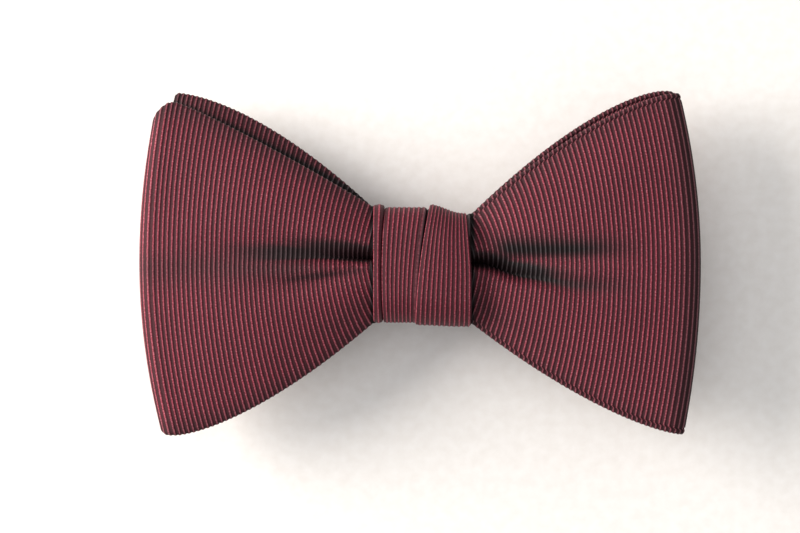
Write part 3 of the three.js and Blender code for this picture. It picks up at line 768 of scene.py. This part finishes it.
def tucked(x):
    """0 to 1 as the lower turn goes under the upper one."""
    return smooth((x - overlap_line(0.0) + TUCK) / TUCK)


def knot_right_edge(y):
    """The upper turn's right side, drawn in towards the top."""
    return knot_high.x - 0.95 * MM * smooth((y + 4 * MM) / (16 * MM))


IN_SHADOW = 1.8              # painted shade of cloth that lies behind another turn

# The first turn is painted dark all over, and the lower turn where it goes under the upper one: painted
# shade.
knot_first_turn = wrap_piece(
    "knot_first_turn", upright_edge(knot_low.x + 0.35 * MM), upright_edge(knot_high.x - 0.1 * MM),
    top=lambda x: knot_high.y - (0.75 + 1.7 * smooth(x / MM / 8)) * MM,
    bottom=level_line(knot_low.y + 1.2 * MM),
    front=level_line(knot_front - 1.3 * MM),
    painted_shade_along=lambda x: IN_SHADOW * np.ones_like(x))
knot_left_fold = wrap_piece(
    "knot_left_fold", upright_edge(knot_low.x), lambda y: groove_line(y) - 0.1 * MM,
    top=level_line(knot_high.y + 0.3 * MM),
    bottom=level_line(knot_low.y + 0.4 * MM),
    front=level_line(knot_front - 0.35 * MM))
knot_under_wrap = wrap_piece(
    "knot_under_wrap", groove_line, lambda y: overlap_line(y) + 2.6 * MM,
    top=lambda x: knot_high.y - (0.3 + 0.5 * tucked(x)) * MM,
    bottom=lambda x: knot_low.y + (0.45 + 0.4 * tucked(x)) * MM,
    front=lambda x: knot_front - (0.15 + 0.75 * tucked(x)) * MM,
    painted_shade_along=lambda x: IN_SHADOW * tucked(x + 0.25 * MM))
knot_over_wrap = wrap_piece(
    "knot_over_wrap", overlap_line, knot_right_edge,
    top=lambda x: knot_high.y + (0.35 - 1.9 * smooth((x / MM + 0.5) / 10)) * MM,
    bottom=lambda x: knot_low.y - (0.05 + 0.35 * smooth(x / MM / 9)) * MM,
    front=lambda x: knot_front + (0.35 - 0.6 * smooth((x / MM - 4) / 7)) * MM)
for piece in (knot_first_turn, knot_left_fold, knot_under_wrap, knot_over_wrap):
    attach(piece, "knot")
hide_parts("knot_cloth")

# The gathered middles, the knot's lining and its binding are seen only through gaps beside the knot.
for node, material in (("front_bow_centre", sewing_thread), ("back_bow_centre", sewing_thread),
                       ("knot_interlining", wool), ("centre_binding", sewing_thread)):
    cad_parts[node].data.materials.clear()
    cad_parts[node].data.materials.append(material)


# ---- Neck band ----

def half_turn(x, low, high, bulge, upwards):
    """Half a turn of the band round x between two levels, bulging to the side that bulge gives."""
    radius, middle = (high - low) / 2, (high + low) / 2
    angles = np.linspace(-math.pi / 2, math.pi / 2, 25)
    points = [(x + bulge * radius * math.cos(a), middle + radius * math.sin(a)) for a in angles]
    return points if upwards else points[::-1]


strap_low, strap_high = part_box("band_middle_sleeve")
STRAP_WIDTH = strap_high.y - strap_low.y


def strap_piece(name, path, half=STRAP_HALF):
    """The band along a path of (x, z) points, its ribs running across it."""
    path = np.array(path)
    length = np.concatenate([[0], np.cumsum(np.linalg.norm(np.diff(path, axis=0), axis=1))])
    steps = max(int(round(length[-1] / (RIB / 5))), 8)
    distance = np.linspace(0, length[-1], steps + 1)
    x, z = np.interp(distance, length, path[:, 0]), np.interp(distance, length, path[:, 1])
    inner = np.linspace(EDGE_ROWS[8], STRAP_WIDTH - EDGE_ROWS[8], 12)[1:-1]
    places = np.concatenate([EDGE_ROWS[:9], inner, STRAP_WIDTH - EDGE_ROWS[8::-1]])
    middle = np.empty((len(x), len(places), 3))
    middle[..., 0] = x[:, None]
    middle[..., 1] = strap_low.y + places
    middle[..., 2] = z[:, None]
    edge_distance = np.minimum(places, STRAP_WIDTH - places)[None]
    at_edge = np.clip(edge_distance / half, 0, 1)
    thick = cloth_half(edge_distance, half, seam=0.06 * MM) + \
        0.8 * rib_profile(distance, RIB)[:, None] * at_edge
    thick[0] = 0
    thick[-1] = 0
    weave = np.stack(np.broadcast_arrays(distance[:, None], places[None]), axis=-1)
    return shell(name, middle, thick, weave, silk)


middle_level = middle_of("band_middle_sleeve", 2)
pass_level = middle_of("band_left_pass_sleeve", 2)
end_level = middle_of("band_left_end_sleeve", 2)
return_level = middle_of("return_strand", 2)
FOLD_CLEARANCE = 0.3 * MM    # a fold's turn starts this far past the straight cloth
outer_x = strap_high.x + FOLD_CLEARANCE
inner_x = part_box("band_right_pass_sleeve")[0].x - FOLD_CLEARANCE
bar_x = 46 * MM              # where the band's ends turn back round the eye's and the hook's bars
flap_x = -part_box("eye_loop")[1].x
hook_flap_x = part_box("hook_loop")[0].x
strand_low, strand_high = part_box("return_strand")

band_middle = strap_piece("band_middle_run", [(-outer_x, middle_level), (outer_x, middle_level)])
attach(band_middle, "knot")
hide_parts("band_middle_sleeve", "band_middle_core")


def mirrored(path, side):
    """The path on the left, side -1, or as it is on the right, side 1."""
    return [(side * x, z) for x, z in path]


for word, side in (("left", -1), ("right", 1)):
    outer_path = half_turn(outer_x, pass_level, middle_level, 1, False) + [(inner_x, pass_level)]
    outer_run = strap_piece(f"band_{word}_outer_run", mirrored(outer_path, side))
    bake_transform(outer_run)
    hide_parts(f"band_{word}_pass_sleeve", f"band_{word}_pass_core",
                f"band_{word}_outer_fold")
    flap = flap_x if side < 0 else hook_flap_x
    inner_path = half_turn(inner_x, end_level, pass_level, -1, False) + \
        half_turn(bar_x, return_level, end_level, 1, False) + [(flap, return_level)]
    inner_run = strap_piece(f"band_{word}_inner_run", mirrored(inner_path, side))
    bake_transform(inner_run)
    loop = "eye_loop" if side < 0 else "hook_loop"
    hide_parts(f"band_{word}_end_sleeve", f"band_{word}_end_core",
                f"band_{word}_inner_fold", loop)

return_strand = strap_piece("return_run", [(strand_high.x + FOLD_CLEARANCE, return_level),
                                           (strand_low.x - FOLD_CLEARANCE, return_level)])
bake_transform(return_strand)
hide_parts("return_strand")

# The cloth goes round the slide's middle bar, thinner there, and is sewn down to the strand.
slide_loop_low, slide_loop_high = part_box("slide_loop")
LOOP_HALF = 0.25 * MM        # half the thickness of the cloth round the bar
slide_bar_x = slide_loop_low.x + 0.5 * MM + 1.3 * MM
loop_turn_x = slide_bar_x - 0.4 * MM
loop_bottom = slide_loop_low.z + LOOP_HALF
loop_top = slide_loop_high.z - LOOP_HALF
loop_path = [(slide_loop_high.x, loop_bottom), (loop_turn_x, loop_bottom)]
loop_path += half_turn(loop_turn_x, loop_bottom, loop_top, -1, True)
loop_path += [(slide_bar_x + 0.8 * MM, loop_top), (slide_loop_high.x, return_level + 0.55 * MM)]
slide_loop = strap_piece("slide_loop_cloth", loop_path, half=LOOP_HALF)
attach(slide_loop, "slide")
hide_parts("slide_loop")


# ---- Stitches ----

def stitch_tree():
    """A row of short arched stitches along y, as Geometry Nodes."""
    tree = bpy.data.node_groups.new("row_of_stitches", "GeometryNodeTree")
    sockets = {}
    for label, kind in (("Count", "NodeSocketInt"), ("Spacing", "NodeSocketFloat"),
                        ("Length", "NodeSocketFloat"), ("Slant", "NodeSocketFloat"),
                        ("Arch", "NodeSocketFloat"), ("Thread radius", "NodeSocketFloat"),
                        ("Unevenness", "NodeSocketFloat")):
        sockets[label] = tree.interface.new_socket(name=label, in_out="INPUT", socket_type=kind)
    tree.interface.new_socket(name="Geometry", in_out="OUTPUT", socket_type="NodeSocketGeometry")
    given = tree.nodes.new("NodeGroupInput").outputs
    half = math_node(tree, "MULTIPLY", given["Length"], 0.5)
    start = add_node(tree, "ShaderNodeCombineXYZ", X=math_node(tree, "MULTIPLY", half, -1.0))
    top = add_node(tree, "ShaderNodeCombineXYZ", Z=math_node(tree, "MULTIPLY", given["Arch"], 2.0))
    end = add_node(tree, "ShaderNodeCombineXYZ", X=half)
    arch = add_node(tree, "GeometryNodeCurveQuadraticBezier", Resolution=8, Start=start.outputs[0],
                    Middle=top.outputs[0], End=end.outputs[0])
    section = add_node(tree, "GeometryNodeCurvePrimitiveCircle", Resolution=10,
                       Radius=given["Thread radius"])
    thread = add_node(tree, "GeometryNodeCurveToMesh", Curve=arch.outputs[0],
                      Profile_Curve=section.outputs[0], Fill_Caps=True)
    step = add_node(tree, "ShaderNodeCombineXYZ", Y=given["Spacing"])
    row = add_node(tree, "GeometryNodeMeshLine", Count=given["Count"], Offset=step.outputs[0])
    # each stitch is pulled a little differently; the seed is fixed
    low = math_node(tree, "SUBTRACT", given["Slant"], given["Unevenness"])
    high = math_node(tree, "ADD", given["Slant"], given["Unevenness"])
    turn = add_node(tree, "FunctionNodeRandomValue", {"data_type": "FLOAT"}, _2=low, _3=high, Seed=7)
    spin = add_node(tree, "ShaderNodeCombineXYZ", Z=turn.outputs[1])
    placed = add_node(tree, "GeometryNodeInstanceOnPoints", Points=row.outputs[0],
                      Instance=thread.outputs[0], Rotation=spin.outputs[0])
    real = add_node(tree, "GeometryNodeRealizeInstances", Geometry=placed.outputs[0])
    coloured = add_node(tree, "GeometryNodeSetMaterial", Geometry=real.outputs[0],
                        Material=sewing_thread)
    add_node(tree, "NodeGroupOutput", Geometry=coloured.outputs[0])
    return tree, sockets


stitches_tree, stitch_sockets = stitch_tree()


def stitch_row(name, place, body, settings, replaced=None):
    """One row of stitches below a face that looks down, its first stitch at place."""
    carrier = bpy.data.objects.new("carrier", bpy.data.meshes.new("carrier"))
    bpy.context.scene.collection.objects.link(carrier)
    modifier = carrier.modifiers.new("stitches", "NODES")
    modifier.node_group = stitches_tree
    for label, value in settings.items():
        modifier[stitch_sockets[label].identifier] = value
    graph = bpy.context.evaluated_depsgraph_get()
    mesh = bpy.data.meshes.new_from_object(carrier.evaluated_get(graph), depsgraph=graph)
    carrier.modifiers.remove(modifier)
    bpy.data.objects.remove(carrier)
    for vertex in mesh.vertices:
        x, y, z = vertex.co
        vertex.co = (place[0] + x, place[1] + y, place[2] - z)
    mesh.name = name
    seal(mesh)
    row = place_in_scene(mesh, name, sewing_thread)
    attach(row, body)
    if replaced:
        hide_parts(replaced)


ROW_INSET = 0.4 * MM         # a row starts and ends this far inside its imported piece
CLOSING_COUNT = 9
closing_low, closing_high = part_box("knot_stitches")
closing_spacing = (closing_high.y - closing_low.y - 2 * ROW_INSET) / (CLOSING_COUNT - 1)
closing_start = ((closing_low.x + closing_high.x) / 2, closing_low.y + ROW_INSET,
                 knot_low.z - 0.1 * MM)
stitch_row("knot_closing_stitches", closing_start, "knot",
           {"Count": CLOSING_COUNT, "Spacing": closing_spacing, "Length": 2.8 * MM, "Slant": 0.45,
            "Arch": 0.35 * MM, "Thread radius": THREAD, "Unevenness": 0.12}, "knot_stitches")
tack_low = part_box("eye_tack")[0]
hook_tack_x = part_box("hook_loop")[0].x + 1.3 * MM
running = {"Count": 7, "Spacing": 2.2 * MM, "Length": 1.4 * MM, "Slant": math.pi / 2, "Arch": 0.05 * MM,
           "Thread radius": 0.12 * MM, "Unevenness": 0.06}
flap_level = return_level - STRAP_HALF
for name, x, level, body, replaced in (
        ("eye_flap_stitches", middle_of("eye_tack", 0), flap_level, "band_left_end", "eye_tack"),
        ("hook_flap_stitches", hook_tack_x, flap_level, "band_right_end", None),
        ("slide_flap_stitches", middle_of("slide_tack", 0), slide_loop_low.z + 0.06 * MM, "slide",
         "slide_tack")):
    stitch_row(name, (x, tack_low.y + ROW_INSET, level + 0.07 * MM), body, running, replaced)


# ---- Hook, eye and size slide ----

def stamped(node, body):
    """A stamped metal part: the frame's own solid with its edges barrelled round."""
    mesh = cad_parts[node].data.copy()
    work = bmesh.new()
    work.from_mesh(mesh)
    bmesh.ops.remove_doubles(work, verts=work.verts, dist=0.005 * MM)
    bmesh.ops.dissolve_limit(work, angle_limit=math.radians(1), verts=work.verts, edges=work.edges)
    sharp = [e for e in work.edges if len(e.link_faces) == 2 and e.calc_face_angle() > math.radians(35)]
    bmesh.ops.bevel(work, geom=sharp, offset=0.16 * MM, segments=3, profile=0.5, affect="EDGES",
                    clamp_overlap=True)
    bmesh.ops.recalc_face_normals(work, faces=work.faces)
    work.to_mesh(mesh)
    work.free()
    mesh.name = f"{node}_stamping"
    piece = place_in_scene(mesh, f"{node}_stamping", nickel)
    mesh.polygons.foreach_set("use_smooth", [True] * len(mesh.polygons))
    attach(piece, body)
    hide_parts(node)


for node in ("eye", "hook", "slide"):
    stamped(node, node)


# ---- Floor, light and camera ----

BOW_LEVEL = 20 * MM          # height at which the lamps are aimed


def add_light(name, place, size, power, colour):
    """A round lamp of size metres and power watts, aimed at the bow."""
    data = bpy.data.lights.new(name, "AREA")
    data.shape = "DISK"
    data.size = size
    data.energy = power
    data.color = linear(colour)[:3]
    lamp = bpy.data.objects.new(name, data)
    lamp.location = place
    bpy.context.scene.collection.objects.link(lamp)
    aim = Vector((0, 0, BOW_LEVEL)) - Vector(place)
    lamp.rotation_euler = aim.to_track_quat("-Z", "Y").to_euler()


def make_floor():
    """A pale paper sweep with a faint fibre."""
    mesh = bpy.data.meshes.new("studio_floor")
    half = 2.5  # half its side, in metres
    mesh.from_pydata([(-half, -half, 0), (half, -half, 0), (half, half, 0), (-half, half, 0)], [],
                     [(0, 1, 2, 3)])
    material, tree, surface = new_material("matt_paper_sweep")
    place = add_node(tree, "ShaderNodeTexCoord").outputs["Object"]
    fibre = add_node(tree, "ShaderNodeTexNoise", Vector=place, Scale=0.4 / MM, Detail=3.0)
    tree.links.new(ramp(tree, fibre.outputs["Fac"], [(0.3, "#ebe8e4"), (0.7, "#f1efec")]),
                   surface.inputs["Base Color"])
    surface.inputs["Roughness"].default_value = 0.85
    place_in_scene(mesh, "studio_floor", material)


def make_world():
    """Even, soft light from all round."""
    world = bpy.data.worlds.new("soft_studio")
    world.use_nodes = True
    background = world.node_tree.nodes["Background"]
    background.inputs["Color"].default_value = linear("#f4f3f2")
    background.inputs["Strength"].default_value = 0.66
    bpy.context.scene.world = world


def make_camera():
    """Straight above the bow, a little to the left, the bow filling seven tenths of the width."""
    data = bpy.data.cameras.new("view_from_above")
    height = 520 * MM
    view_width = 171.4 * MM  # seen at the level of the wings
    wing_level = 18 * MM
    data.sensor_width = 36
    data.lens = data.sensor_width * (height - wing_level) / view_width
    camera = bpy.data.objects.new("view_from_above", data)
    camera.location = (-4.4 * MM, -0.86 * MM, height)
    bpy.context.scene.collection.objects.link(camera)
    bpy.context.scene.camera = camera


make_camera()
make_floor()
make_world()
add_light("window_key", (-0.60, 0.16, 0.34), 0.5, 8.4, "#fff8f2")
add_light("overhead_fill", (-0.2, 0.05, 0.9), 0.6, 1.2, "#f6f8ff")
bpy.context.scene.view_settings.view_transform = "Standard"
